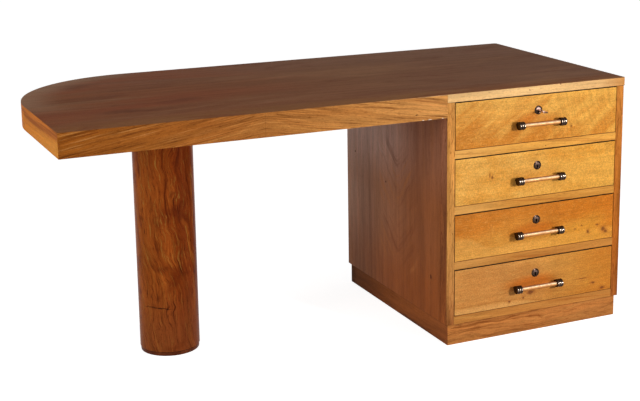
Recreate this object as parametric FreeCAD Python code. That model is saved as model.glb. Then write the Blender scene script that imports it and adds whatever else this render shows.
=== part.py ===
"""Captain's desk, built from its separate boards, lippings and fittings.

A long top stands on a pedestal of drawers at its right end and on one round column at its left end.
The top's back left corner is a large quarter circle, and the column stands under its centre.

Millimetres. +X runs to the right, +Y to the back and +Z up, as seen by someone at the drawers.
The origin is on the floor, under the middle of the overall size with pulls and key included.
"""

import FreeCAD
import Part
import math
import os

os.makedirs("parts", exist_ok=True)
Vector = FreeCAD.Vector

# Top
LENGTH = 1720.0
DEPTH = 768.0
HEIGHT = 760.0
TOP_THICKNESS = 26.0  # board and veneer together
VENEER = 1.2
EDGE_THICKNESS = 24.0  # aprons and edge strips, seen from above
APRON_DEPTH = 69.0
END_RADIUS = 384.0  # the round back left corner
CORNER_RADIUS = 12.0  # the back right corner

# Bearers under the top, between the column and the pedestal
BEARER_COUNT = 2
BEARER_WIDTH = 60.0
BEARER_HEIGHT = 36.0

# Column
COLUMN_RADIUS = 87.0
COLUMN_WALL = 14.0
PLUG_THICKNESS = 25.0  # the discs that close the tube's foot and head
BASE_HEIGHT = 11.0
BASE_INSET = 2.0
GROOVE_HEIGHT = 1.5  # the shadow line round the tube's foot
GROOVE_DEPTH = 5.0
HEAD_PLATE_SIZE = 280.0
HEAD_PLATE_THICKNESS = 20.0
HEAD_PLATE_CORNER = 20.0

# Pedestal carcass
PEDESTAL_WIDTH = 610.0
REVEAL = 1.5  # the top stands this far over the carcass at the front and right
BACK_OVERHANG = 76.5  # the top stands this far over the carcass at the back
PANEL_THICKNESS = 25.0
STILE_DEPTH = 42.0
BACK_THICKNESS = 8.0
BACK_REBATE = 10.0
BOTTOM_THICKNESS = 12.0
RAIL_HEIGHT = 25.0
RAIL_DEPTH = 60.0
RUNNER_WIDTH = 24.0
RUNNER_HEIGHT = 20.0
STOP_WIDTH = 30.0
STOP_LENGTH = 16.0
STOP_HEIGHT = 6.0
STOP_SPACING = 300.0
STOP_GAP = 0.4
PLINTH_HEIGHT = 65.0
PLINTH_SETBACK = 7.0
PLINTH_THICKNESS = 22.0
BLOCK_SIZE = 45.0
BLOCK_HEIGHT = 55.0

# Drawers
DRAWER_COUNT = 4
FRONT_THICKNESS = 20.0
SIDE_THICKNESS = 12.0
DRAWER_BACK_THICKNESS = 12.0
DRAWER_BOTTOM_THICKNESS = 6.0
SIDE_GAP = 1.5
TOP_GAP = 2.0
FOOT_GAP = 1.0
RUNNING_GAP = 0.5
SIDE_DROP = 6.0  # from the opening's top to the drawer side
BACK_DROP = 4.0  # from the drawer side's top to the drawer back
DRAWER_CLEARANCE = 20.0  # behind the closed drawer
GROOVE_RISE = 10.0  # from the side's foot to the bottom board
GROOVE_BITE = 6.0
LAP = 8.0  # wood left in front of the dovetails
TAIL_COUNT = 4
BACK_TAIL_COUNT = 3
TAIL_SHARE = 0.62
TAIL_SLOPE = 1.0 / 7.0

# Lock, let into the back of the drawer front
LOCK_DROP = 46.0  # from the drawer front's top edge to the key's axis
CASE_WIDTH = 56.0
CASE_DEPTH = 11.0
CASE_BELOW = 18.0
CASE_WALL = 1.5
NOSE_RADIUS = 8.5
NOSE_PROUD = 1.2
KEYHOLE_RADIUS = 2.9
KEYHOLE_SLOT = 2.8
KEYHOLE_REACH = 7.2
RING_RADIUS = 13.5
RING_PROUD = 2.2
BOLT_WIDTH = 22.0
BOLT_THICKNESS = 6.0
BOLT_LENGTH = 26.0
BOLT_THROW = 8.0
BOLT_FIT = 0.4
TAIL_PLATE_WIDTH = 34.0
TAIL_PLATE_THICKNESS = 3.0
WINDOW_HALF = 9.5
WINDOW_BELOW = 11.5
MORTISE_FIT = 1.0
MORTISE_SPARE = 3.0

# Pull
PULL_LENGTH = 163.0
PULL_DROP = 83.0  # from the drawer front's top edge to the bar's axis
PULL_STANDOFF = 22.0
BAR_RADIUS = 5.2
CAP_LENGTH = 19.5
CAP_RADIUS = 12.5
POST_RADIUS = 4.5

# Key
SHANK_RADIUS = 2.5
COLLAR_RADIUS = 3.8
COLLAR_LENGTH = 3.0
BOW_LENGTH = 24.0
BOW_WIDTH = 17.0
BOW_RIM = 3.2
BOW_THICKNESS = 3.0
BOW_CENTRE = 34.0  # in front of the drawer's face
BIT_REACH = 7.0
BIT_THICKNESS = 2.0
BIT_WIDTH = 5.0
KEY_END_GAP = 1.0

# Levels and planes that follow from the sizes above
UNDERSIDE = HEIGHT - TOP_THICKNESS
SKIN_LEVEL = HEIGHT - VENEER
APRON_FOOT = HEIGHT - APRON_DEPTH
KEY_REACH = BOW_CENTRE + BOW_LENGTH / 2
FRONT_REACH = max(KEY_REACH, PULL_STANDOFF + CAP_RADIUS) - REVEAL
LEFT = -LENGTH / 2
RIGHT = LENGTH / 2
FRONT = (FRONT_REACH - DEPTH) / 2
BACK = FRONT + DEPTH
PEDESTAL_RIGHT = RIGHT - REVEAL
PEDESTAL_LEFT = PEDESTAL_RIGHT - PEDESTAL_WIDTH
PEDESTAL_MIDDLE = (PEDESTAL_LEFT + PEDESTAL_RIGHT) / 2
FACE = FRONT + REVEAL
PEDESTAL_BACK = BACK - BACK_OVERHANG
INSIDE_LEFT = PEDESTAL_LEFT + PANEL_THICKNESS
INSIDE_RIGHT = PEDESTAL_RIGHT - PANEL_THICKNESS
INSIDE_BACK = PEDESTAL_BACK - BACK_THICKNESS
COLUMN_X = LEFT + END_RADIUS
COLUMN_Y = BACK - END_RADIUS
BAY_PITCH = (UNDERSIDE - PLINTH_HEIGHT) / DRAWER_COUNT
PLATE_FOOT = UNDERSIDE - HEAD_PLATE_THICKNESS


def box(x, y, z):
    """A block between the low and high values on each axis."""
    size = (x[1] - x[0], y[1] - y[0], z[1] - z[0])
    return Part.makeBox(*size, Vector(x[0], y[0], z[0]))


def prism(corners, z):
    """A block whose plan is the polygon through the corners."""
    loop = [Vector(x, y, z[0]) for x, y in corners + corners[:1]]
    return Part.Face(Part.makePolygon(loop)).extrude(Vector(0, 0, z[1] - z[0]))


def rod(start, end, radius):
    """A round bar from one point to another."""
    along = Vector(*end) - Vector(*start)
    return Part.makeCylinder(radius, along.Length, Vector(*start), along)


def turned(profile, centre, axis):
    """A turned piece: the profile holds (radius, distance along the axis) pairs."""
    loop = [Vector(radius, 0, along) for radius, along in profile + profile[:1]]
    piece = Part.Face(Part.makePolygon(loop)).revolve(Vector(0, 0, 0), Vector(0, 0, 1), 360)
    turn = FreeCAD.Rotation(Vector(0, 0, 1), Vector(*axis))
    piece.Placement = FreeCAD.Placement(Vector(*centre), turn)
    return piece


def save(node, *solids):
    """Writes the pieces of one node."""
    shape = solids[0] if len(solids) == 1 else Part.makeCompound(list(solids))
    shape.exportStep("parts/" + node + ".step")


def cut_all(shape, tools):
    """The shape with each tool cut out of it."""
    for tool in tools:
        shape = shape.cut(tool)
    return shape


def about_middle(half):
    """The low and high x of a feature centred on the pedestal."""
    return (PEDESTAL_MIDDLE - half, PEDESTAL_MIDDLE + half)


# ---- Top ----


def top_outline(inset, z):
    """The top's plan, drawn in by the inset, as a solid between two levels."""
    left, right = LEFT + inset, RIGHT - inset
    front, back = FRONT + inset, BACK - inset
    radius = END_RADIUS - inset
    corner = max(CORNER_RADIUS - inset, 0.0)
    base = z[0]
    middle = math.sqrt(0.5)
    left_turn = Vector(left, COLUMN_Y, base)
    back_turn = Vector(COLUMN_X, back, base)
    crown = Vector(COLUMN_X - radius * middle, COLUMN_Y + radius * middle, base)
    back_end = Vector(right - corner, back, base)
    right_end = Vector(right, back - corner, base)
    edges = [
        Part.makeLine(Vector(left, front, base), left_turn),
        Part.Arc(left_turn, crown, back_turn).toShape(),
        Part.makeLine(back_turn, back_end),
    ]
    if corner > 0:
        bend = Vector(right - corner * (1 - middle), back - corner * (1 - middle), base)
        edges.append(Part.Arc(back_end, bend, right_end).toShape())
    edges.append(Part.makeLine(right_end, Vector(right, front, base)))
    edges.append(Part.makeLine(Vector(right, front, base), Vector(left, front, base)))
    return Part.Face(Part.Wire(edges)).extrude(Vector(0, 0, z[1] - z[0]))


def edge_piece(corners, foot):
    """One length of the top's edging, from its foot up to the veneer."""
    levels = (foot, SKIN_LEVEL)
    ring = top_outline(0, levels).cut(top_outline(EDGE_THICKNESS, levels))
    return ring.common(prism(corners, levels))


def build_edging():
    """Aprons round the knee space and thin strips over the pedestal, mitred at the square corners."""
    inner_left, inner_right = LEFT + EDGE_THICKNESS, RIGHT - EDGE_THICKNESS
    inner_front, inner_back = FRONT + EDGE_THICKNESS, BACK - EDGE_THICKNESS
    front_left, front_right = (LEFT, FRONT), (RIGHT, FRONT)
    mitre_left, mitre_right = (inner_left, inner_front), (inner_right, inner_front)
    front_seam = [(PEDESTAL_LEFT, inner_front), (PEDESTAL_LEFT, FRONT)]
    right_seam = [(inner_right, PEDESTAL_BACK), (RIGHT, PEDESTAL_BACK)]
    back_corner = [(inner_right, inner_back), (RIGHT, BACK)]
    end_seam = [(LEFT, COLUMN_Y), (inner_left, COLUMN_Y)]
    back_seam = [(COLUMN_X, inner_back), (COLUMN_X, BACK)]

    save("front_apron", edge_piece([front_left, mitre_left] + front_seam, APRON_FOOT))
    save("end_apron", edge_piece([mitre_left, front_left] + end_seam, APRON_FOOT))
    quarter = [(LEFT, COLUMN_Y), (COLUMN_X, COLUMN_Y), (COLUMN_X, BACK), (LEFT, BACK)]
    save("curved_apron", edge_piece(quarter, APRON_FOOT))
    along_back = edge_piece(back_corner + back_seam[::-1], APRON_FOOT)
    behind_pedestal = edge_piece(right_seam + back_corner[::-1], APRON_FOOT)
    save("back_apron", along_back, behind_pedestal)
    front_strip = edge_piece(front_seam[::-1] + [mitre_right, front_right], UNDERSIDE)
    right_strip = edge_piece([front_right, mitre_right] + right_seam, UNDERSIDE)
    save("edge_strips", front_strip.cut(mortise(UNDERSIDE)), right_strip)


def bearer_spans():
    """The low and high x of each bearer, evenly spaced from the head plate to the pedestal."""
    start = COLUMN_X + HEAD_PLATE_SIZE / 2
    step = (PEDESTAL_LEFT - start) / (BEARER_COUNT + 1)
    middles = [start + step * (index + 1) for index in range(BEARER_COUNT)]
    return [(middle - BEARER_WIDTH / 2, middle + BEARER_WIDTH / 2) for middle in middles]


def build_top():
    save("top_veneer", top_outline(0, (SKIN_LEVEL, HEIGHT)))
    save("top_board", top_outline(EDGE_THICKNESS, (UNDERSIDE, SKIN_LEVEL)))
    across = (FRONT + EDGE_THICKNESS, BACK - EDGE_THICKNESS)
    up = (UNDERSIDE - BEARER_HEIGHT, UNDERSIDE)
    save("cross_bearers", *[box(span, across, up) for span in bearer_spans()])


# ---- Column ----


def build_column():
    """A tube on a thin turned base, closed by a disc at each end, and a plate under the top."""
    axis = (COLUMN_X, COLUMN_Y)
    half = HEAD_PLATE_SIZE / 2
    plate = box(
        (COLUMN_X - half, COLUMN_X + half),
        (COLUMN_Y - half, COLUMN_Y + half),
        (PLATE_FOOT, UNDERSIDE),
    )
    uprights = [edge for edge in plate.Edges if edge.BoundBox.ZLength > HEAD_PLATE_THICKNESS / 2]
    bore = COLUMN_RADIUS - COLUMN_WALL
    head_plug = rod((*axis, PLATE_FOOT - PLUG_THICKNESS), (*axis, PLATE_FOOT), bore)
    foot_plug = rod((*axis, BASE_HEIGHT), (*axis, BASE_HEIGHT + PLUG_THICKNESS), bore)
    save("column_inner", plate.makeChamfer(HEAD_PLATE_CORNER, uprights), head_plug, foot_plug)

    shoulder = BASE_HEIGHT + GROOVE_HEIGHT
    tube = rod((*axis, shoulder), (*axis, PLATE_FOOT), COLUMN_RADIUS)
    neck = rod((*axis, BASE_HEIGHT), (*axis, shoulder), COLUMN_RADIUS - GROOVE_DEPTH)
    hollow = rod((*axis, BASE_HEIGHT), (*axis, PLATE_FOOT), bore)
    save("column_tube", tube.fuse(neck).cut(hollow))
    save("column_base", rod((*axis, 0), (*axis, BASE_HEIGHT), COLUMN_RADIUS - BASE_INSET))


# ---- Pedestal ----


def opening_floor(number):
    """The level that drawer number rests on. Drawer 1 is at the top."""
    return UNDERSIDE - BAY_PITCH * number + RAIL_HEIGHT


def opening_top(number):
    return opening_floor(number) + BAY_PITCH - RAIL_HEIGHT


def front_top(number):
    """The top edge of a drawer front."""
    return opening_top(number) - TOP_GAP


def bolt_span():
    """The front and back planes of the lock's bolt."""
    middle = FACE + FRONT_THICKNESS - CASE_DEPTH / 2
    return (middle - BOLT_THICKNESS / 2, middle + BOLT_THICKNESS / 2)


def mortise(level):
    """The pocket that a drawer's bolt rises into, above an opening whose top is at the level."""
    low, high = bolt_span()
    return box(
        about_middle(BOLT_WIDTH / 2 + MORTISE_FIT),
        (low - MORTISE_FIT, high + MORTISE_FIT),
        (level, level - TOP_GAP + BOLT_THROW + MORTISE_SPARE),
    )


def build_carcass():
    heights = (PLINTH_HEIGHT, UNDERSIDE)
    back_board = box(
        (INSIDE_LEFT - BACK_REBATE, INSIDE_RIGHT + BACK_REBATE),
        (INSIDE_BACK, PEDESTAL_BACK),
        heights,
    )
    save("back_panel", back_board)
    deep = (FACE + STILE_DEPTH, PEDESTAL_BACK)
    left_panel = box((PEDESTAL_LEFT, INSIDE_LEFT), deep, heights)
    right_panel = box((INSIDE_RIGHT, PEDESTAL_RIGHT), deep, heights)
    save("left_side_panel", left_panel.cut(back_board))
    save("right_side_panel", right_panel.cut(back_board))
    edge = (FACE, FACE + STILE_DEPTH)
    left_stile = box((PEDESTAL_LEFT, INSIDE_LEFT), edge, heights)
    right_stile = box((INSIDE_RIGHT, PEDESTAL_RIGHT), edge, heights)
    save("front_stiles", left_stile, right_stile)

    between = (INSIDE_LEFT, INSIDE_RIGHT)
    rails, runners = [], []
    board_top = PLINTH_HEIGHT + BOTTOM_THICKNESS
    for number in range(1, DRAWER_COUNT + 1):
        floor = opening_floor(number)
        rail = box(between, (FACE, FACE + RAIL_DEPTH), (floor - RAIL_HEIGHT, floor))
        if number < DRAWER_COUNT:
            rail = rail.cut(mortise_below(number))
        rails.append(rail)
        foot = max(floor - RUNNER_HEIGHT, board_top)
        along = (FACE + RAIL_DEPTH, INSIDE_BACK)
        runners.append(box((INSIDE_LEFT, INSIDE_LEFT + RUNNER_WIDTH), along, (foot, floor)))
        runners.append(box((INSIDE_RIGHT - RUNNER_WIDTH, INSIDE_RIGHT), along, (foot, floor)))
        for side in (-1, 1):
            middle = PEDESTAL_MIDDLE + side * STOP_SPACING / 2
            start = FACE + FRONT_THICKNESS + STOP_GAP
            runners.append(
                box(
                    (middle - STOP_WIDTH / 2, middle + STOP_WIDTH / 2),
                    (start, start + STOP_LENGTH),
                    (floor, floor + STOP_HEIGHT),
                )
            )
    save("drawer_rails", *rails)
    save("drawer_runners", *runners)
    save("bottom_board", box(between, (FACE + RAIL_DEPTH, INSIDE_BACK), (PLINTH_HEIGHT, board_top)))


def mortise_below(number):
    """The pocket in the underside of the rail that carries a drawer, for the next drawer's bolt."""
    return mortise(opening_top(number + 1))


def build_plinth():
    left, right = PEDESTAL_LEFT + PLINTH_SETBACK, PEDESTAL_RIGHT - PLINTH_SETBACK
    front, back = FACE + PLINTH_SETBACK, PEDESTAL_BACK - PLINTH_SETBACK
    thick = PLINTH_THICKNESS
    up = (0, PLINTH_HEIGHT)
    side_end = back - thick
    front_corners = [(left, front), (right, front), (right - thick, front + thick)]
    save("plinth_front", prism(front_corners + [(left + thick, front + thick)], up))
    returns = [box((left, right), (side_end, back), up)]
    for outside, inside in ((left, left + thick), (right, right - thick)):
        corners = [(outside, front), (inside, front + thick), (inside, side_end), (outside, side_end)]
        returns.append(prism(corners, up))
    save("plinth_returns", *returns)

    blocks = []
    for x, inward_x in ((left + thick, 1), (right - thick, -1)):
        for y, inward_y in ((front + thick, 1), (side_end, -1)):
            corners = [(x, y), (x + inward_x * BLOCK_SIZE, y), (x, y + inward_y * BLOCK_SIZE)]
            blocks.append(prism(corners, (PLINTH_HEIGHT - BLOCK_HEIGHT, PLINTH_HEIGHT)))
    save("plinth_blocks", *blocks)


# ---- Drawers ----


def tails(x, y_root, y_end, z, count):
    """Dovetails across a board's end: they widen from their root to the board's end."""
    pitch = (z[1] - z[0]) / count
    root = pitch * TAIL_SHARE / 2
    tip = root + TAIL_SLOPE * abs(y_end - y_root)
    pieces = []
    for index in range(count):
        middle = z[0] + pitch * (index + 0.5)
        corners = [
            Vector(x[0], y_root, middle - root),
            Vector(x[0], y_root, middle + root),
            Vector(x[0], y_end, middle + tip),
            Vector(x[0], y_end, middle - tip),
        ]
        face = Part.Face(Part.makePolygon(corners + corners[:1]))
        pieces.append(face.extrude(Vector(x[1] - x[0], 0, 0)))
    return pieces


def drawer_side(x, z, length, back_z, bottom):
    """One drawer side with lapped dovetails at the front, through ones at the back and a groove."""
    start, shoulder = FACE + LAP, FACE + FRONT_THICKNESS
    end = FACE + length
    back_shoulder = end - DRAWER_BACK_THICKNESS
    front_waste = cut_all(box(x, (start, shoulder), z), tails(x, shoulder, start, z, TAIL_COUNT))
    back_waste = box(x, (back_shoulder, end), back_z)
    back_waste = cut_all(back_waste, tails(x, back_shoulder, end, back_z, BACK_TAIL_COUNT))
    return cut_all(box(x, (start, end), z), [front_waste, back_waste, bottom])


def build_box(number):
    """The four boards and the bottom of a drawer."""
    floor = opening_floor(number)
    left, right = INSIDE_LEFT + SIDE_GAP, INSIDE_RIGHT - SIDE_GAP
    length = INSIDE_BACK - DRAWER_CLEARANCE - FACE
    inner = FACE + FRONT_THICKNESS
    side_z = (floor + RUNNING_GAP, opening_top(number) - SIDE_DROP)
    board_z = (side_z[0] + GROOVE_RISE, side_z[0] + GROOVE_RISE + DRAWER_BOTTOM_THICKNESS)
    back_z = (board_z[1], side_z[1] - BACK_DROP)
    reach = (left + SIDE_THICKNESS - GROOVE_BITE, right - SIDE_THICKNESS + GROOVE_BITE)
    bottom = box(reach, (inner - GROOVE_BITE, FACE + length), board_z)
    sides = [
        drawer_side((left, left + SIDE_THICKNESS), side_z, length, back_z, bottom),
        drawer_side((right - SIDE_THICKNESS, right), side_z, length, back_z, bottom),
    ]
    front = box((left, right), (FACE, inner), (floor + FOOT_GAP, front_top(number)))
    back = box((left, right), (FACE + length - DRAWER_BACK_THICKNESS, FACE + length), back_z)
    name = "drawer_{}_".format(number)
    save(name + "sides", *sides)
    save(name + "back", cut_all(back, sides))
    save(name + "bottom", bottom)
    save(name + "front", cut_all(front, sides + [bottom] + lock_pockets(number)))


# ---- Lock and key ----


def lock_axis(number):
    return front_top(number) - LOCK_DROP


def case_block(number):
    """The outside of the lock case, which fills its recess in the drawer front."""
    return box(
        about_middle(CASE_WIDTH / 2),
        (FACE + FRONT_THICKNESS - CASE_DEPTH, FACE + FRONT_THICKNESS),
        (lock_axis(number) - CASE_BELOW, front_top(number)),
    )


def along_lock(number, start, end, radius):
    """A round bar on the key's axis, between two planes."""
    level = lock_axis(number)
    return rod((PEDESTAL_MIDDLE, start, level), (PEDESTAL_MIDDLE, end, level), radius)


def lock_pockets(number):
    """The case's recess and the nose's hole in a drawer front."""
    return [case_block(number), along_lock(number, FACE, FACE + FRONT_THICKNESS, NOSE_RADIUS)]


def case_room():
    """The front and back planes of the space inside a lock case."""
    back = FACE + FRONT_THICKNESS
    return (back - CASE_DEPTH + CASE_WALL, back - CASE_WALL)


def build_lock(number):
    """The case with its nose, and the bolt that slides up in it."""
    level, top = lock_axis(number), front_top(number)
    room = case_room()
    selvedge = top - CASE_WALL
    low, high = bolt_span()
    tip = FACE - NOSE_PROUD

    floor = level - CASE_BELOW + CASE_WALL
    hollow = box(about_middle(CASE_WIDTH / 2 - CASE_WALL), room, (floor, selvedge))
    slot = box(
        about_middle(BOLT_WIDTH / 2 + BOLT_FIT),
        (low - BOLT_FIT, high + BOLT_FIT),
        (selvedge, top),
    )
    barrel = along_lock(number, tip, room[0], KEYHOLE_RADIUS)
    wards = box(about_middle(KEYHOLE_SLOT / 2), (tip, room[0]), (level - KEYHOLE_REACH, level))
    case = case_block(number).fuse(along_lock(number, tip, room[0], NOSE_RADIUS))
    save("lock_{}_case".format(number), cut_all(case, [hollow, slot, barrel, wards]))

    middle = (low + high) / 2
    half_plate = TAIL_PLATE_THICKNESS / 2
    plate = box(
        about_middle(TAIL_PLATE_WIDTH / 2),
        (middle - half_plate, middle + half_plate),
        (floor + BOLT_FIT, selvedge - BOLT_THROW - BOLT_FIT),
    )
    head = box(about_middle(BOLT_WIDTH / 2), (low, high), (top - BOLT_LENGTH, top))
    window = box(about_middle(WINDOW_HALF), (low, high), (level - WINDOW_BELOW, level + WINDOW_BELOW))
    save("lock_{}_bolt".format(number), head.fuse(plate).cut(window))


def escutcheon(number):
    """The bevelled ring round a lock's nose."""
    profile = [(NOSE_RADIUS, 0), (RING_RADIUS, 0), (NOSE_RADIUS, RING_PROUD)]
    return turned(profile, (PEDESTAL_MIDDLE, FACE, lock_axis(number)), (0, -1, 0))


def round_ended(centre, width, length, thickness):
    """A flat plate that lies level with its length along Y and half-round ends."""
    x, y, z = centre
    levels = (z - thickness / 2, z + thickness / 2)
    straight = (y - (length - width) / 2, y + (length - width) / 2)
    plate = box((x - width / 2, x + width / 2), straight, levels)
    ends = [rod((x, middle, levels[0]), (x, middle, levels[1]), width / 2) for middle in straight]
    return plate.fuse(ends).removeSplitter()


def build_key():
    """The key in the top drawer's lock, with its bow level and its bit to the right."""
    level = lock_axis(1)
    x = PEDESTAL_MIDDLE
    end = case_room()[1] - KEY_END_GAP
    bow_y = FACE - BOW_CENTRE
    neck = bow_y + BOW_LENGTH / 2
    shank = rod((x, neck - BOW_RIM / 2, level), (x, end, level), SHANK_RADIUS)
    collar = rod((x, neck, level), (x, neck + COLLAR_LENGTH, level), COLLAR_RADIUS)
    bow = round_ended((x, bow_y, level), BOW_WIDTH, BOW_LENGTH, BOW_THICKNESS)
    eye = round_ended((x, bow_y, level), BOW_WIDTH - 2 * BOW_RIM, BOW_LENGTH - 2 * BOW_RIM, BOW_THICKNESS)
    bit_z = (level - BIT_THICKNESS / 2, level + BIT_THICKNESS / 2)
    bit = box((x, x + BIT_REACH), (end - BIT_WIDTH, end), bit_z)
    save("key", bow.cut(eye).fuse([shank, collar, bit]))


# ---- Fittings on a drawer's face ----


def pull_level(number):
    return front_top(number) - PULL_DROP


def pull_end(x, number):
    """A round cap along the bar's line, on a post that stands on the drawer front."""
    bar_y, level = FACE - PULL_STANDOFF, pull_level(number)
    half = CAP_LENGTH / 2
    cap = rod((x - half, bar_y, level), (x + half, bar_y, level), CAP_RADIUS)
    return cap.fuse(rod((x, bar_y, level), (x, FACE, level), POST_RADIUS))


def build_fittings(number):
    """The pull's bar, and in one dark metal the two caps that hold it and the ring of the lock."""
    bar_y, level = FACE - PULL_STANDOFF, pull_level(number)
    low, high = about_middle(PULL_LENGTH / 2 - CAP_LENGTH)
    bar = rod((low, bar_y, level), (high, bar_y, level), BAR_RADIUS)
    save("drawer_{}_pull_bar".format(number), bar)
    ends = [pull_end(x, number) for x in about_middle((PULL_LENGTH - CAP_LENGTH) / 2)]
    save("drawer_{}_fittings".format(number), *ends, escutcheon(number))


build_top()
build_edging()
build_column()
build_carcass()
build_plinth()
for drawer in range(1, DRAWER_COUNT + 1):
    build_box(drawer)
    build_lock(drawer)
    build_fittings(drawer)
build_key()
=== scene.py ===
import bmesh
import bpy
import math
from mathutils import Matrix, Vector

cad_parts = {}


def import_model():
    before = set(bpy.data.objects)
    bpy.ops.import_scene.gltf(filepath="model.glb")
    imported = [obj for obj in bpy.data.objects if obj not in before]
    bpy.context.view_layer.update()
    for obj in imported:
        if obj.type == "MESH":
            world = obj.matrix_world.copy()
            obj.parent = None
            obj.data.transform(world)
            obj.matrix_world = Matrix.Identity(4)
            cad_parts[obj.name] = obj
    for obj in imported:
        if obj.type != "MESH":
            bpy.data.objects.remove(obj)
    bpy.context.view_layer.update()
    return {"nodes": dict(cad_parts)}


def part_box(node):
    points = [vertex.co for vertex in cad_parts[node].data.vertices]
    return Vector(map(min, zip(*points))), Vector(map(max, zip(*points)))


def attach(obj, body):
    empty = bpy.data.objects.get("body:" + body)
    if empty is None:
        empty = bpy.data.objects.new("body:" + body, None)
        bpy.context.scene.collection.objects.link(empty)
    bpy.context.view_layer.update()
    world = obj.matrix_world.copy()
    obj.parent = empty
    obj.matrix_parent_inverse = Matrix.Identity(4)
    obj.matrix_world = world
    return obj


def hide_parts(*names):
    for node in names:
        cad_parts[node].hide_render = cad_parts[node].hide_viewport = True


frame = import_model()

# Metres, in the model's frame: +X right, +Y back, +Z up, the floor at 0.
# The camera's view is 640 x 401 pixels.
WIDTH, HEIGHT = 640, 401
FOCAL = 1389.01  # in pixels
CENTRE_X, CENTRE_Y = 400.0, 140.0  # the pixel that the camera's axis goes through
SENSOR = 36.0
AZIMUTH, ELEVATION, ROLL = math.radians(26.74), math.radians(12.64), math.radians(-0.16)
CAMERA_PLACE = Vector((-1.61679, -3.76114, 1.49670))
FAR = 100

DRAWERS = (1, 2, 3, 4)
TOP_LOW, TOP_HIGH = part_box("top_veneer")
APRON_LOW, APRON_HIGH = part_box("front_apron")
SIDE_LOW, SIDE_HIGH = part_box("left_side_panel")
COLUMN_LOW, COLUMN_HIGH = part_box("column_tube")
PLINTH_LOW, PLINTH_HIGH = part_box("plinth_front")
PLINTH_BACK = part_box("plinth_returns")[1].y
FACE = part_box("front_stiles")[0].y
COLUMN = (COLUMN_LOW + COLUMN_HIGH) / 2
COLUMN_RADIUS = (COLUMN_HIGH.x - COLUMN_LOW.x) / 2
END_RADIUS = COLUMN.x - TOP_LOW.x
BAR_LOW, BAR_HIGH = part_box("drawer_1_pull_bar")
METAL_LOW, METAL_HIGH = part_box("drawer_1_fittings")
MIDDLE = (BAR_LOW.x + BAR_HIGH.x) / 2
BAR_Z = (BAR_LOW.z + BAR_HIGH.z) / 2
FRONT_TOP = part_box("drawer_1_front")[1].z
LOCK_DROP = 0.046  # from a drawer front's top edge to its lock's axis
LOCK_RISE = FRONT_TOP - LOCK_DROP - BAR_Z  # from a pull's axis to the axis of the lock above it
RING_RADIUS = METAL_HIGH.z - BAR_Z - LOCK_RISE
RING_THICKNESS, RING_RIM = 0.0022, 0.0009
NOSE_RADIUS = 0.0085  # of the lock's nose, which fills the ring
KEYHOLE_HALF = 0.0026  # half of the keyhole's width
KEY_BOW = 0.024  # the length of the key's bow, from its outer end to the stem
CAP_RADIUS = BAR_Z - METAL_LOW.z
CAP_LENGTH = BAR_LOW.x - METAL_LOW.x
RIB_COUNT, RIB_BULGE = 3, 0.0013
RIB_TURNS = range(-90, 91, 15)  # the angles of the points across one rib
GROOVE_WIDTH, GROOVE_DEPTH = 0.0008, 0.0018  # between the ribs
POST_RADIUS, POST_STEPS = 0.0045, 32
RING_STEPS = 64
ROD_RADIUS = 0.0063

# Modifiers and meshes
WELD = 0.00001
INSIDE = 0.001  # a step from a face into its board
SAME_PLACE = 0.000001
FLAT, CREASE, SHARP = math.radians(0.5), math.radians(30), math.radians(32)
EASED = 0.0008  # how far most edges are rounded
TOP_EASED, BASE_EASED, PLINTH_EASED, LOCK_EASED, KEY_EASED = 0.0005, 0.0015, 0.0012, 0.0003, 0.0004

# Floor, world and lamps
FLOOR_REACH, FLOOR_DROP, FLOOR_GREY = 20, 0.0002, 0.55
FLOOR_GLOW = 0.885  # with the light on its grey, the floor is seen as white
AMBIENT = 0.22
LAMPS = (  # name, target, azimuth and elevation in degrees, distance, size, share of the light
    ("key", (MIDDLE, FACE, 0.6), 17, 12, 2.6, 0.3, 0.74),
    ("high", (MIDDLE, FACE, 0.45), 10, 35, 2.6, 0.9, 0.1),
    ("above", (0.0, 0.0, 0.76), 0, 84, 2.6, 1.2, 0.17),
    ("left", (-0.5, 0.0, 0.5), -73, 14, 3.0, 1.5, 0.46),
)


# ---- Helpers ----


def bar_box(number):
    """The low and high corners of a drawer's pull bar."""
    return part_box("drawer_{}_pull_bar".format(number))


def bar_axis(number):
    """The Y and Z of a pull bar's axis."""
    low, high = bar_box(number)
    return (low.y + high.y) / 2, (low.z + high.z) / 2


def tone(red, green, blue):
    """A colour from its screen values, 0 to 255."""
    return tuple(((value / 255 + 0.055) / 1.055) ** 2.4 for value in (red, green, blue)) + (1.0,)


class Graph:
    """A node tree. Its inputs take a number, a colour or another node's output."""

    def __init__(self, tree):
        self.nodes, self.links = tree.nodes, tree.links

    def node(self, kind, values=(), **settings):
        node = self.nodes.new(kind)
        for key, setting in settings.items():
            setattr(node, key, setting)
        for index, value in values.items() if isinstance(values, dict) else enumerate(values):
            self.put(node.inputs[index], value)
        return node

    def put(self, socket, value):
        if isinstance(value, bpy.types.NodeSocket):
            self.links.new(value, socket)
        else:
            socket.default_value = value

    def math(self, operation, *values):
        return self.node("ShaderNodeMath", values, operation=operation).outputs[0]


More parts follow.
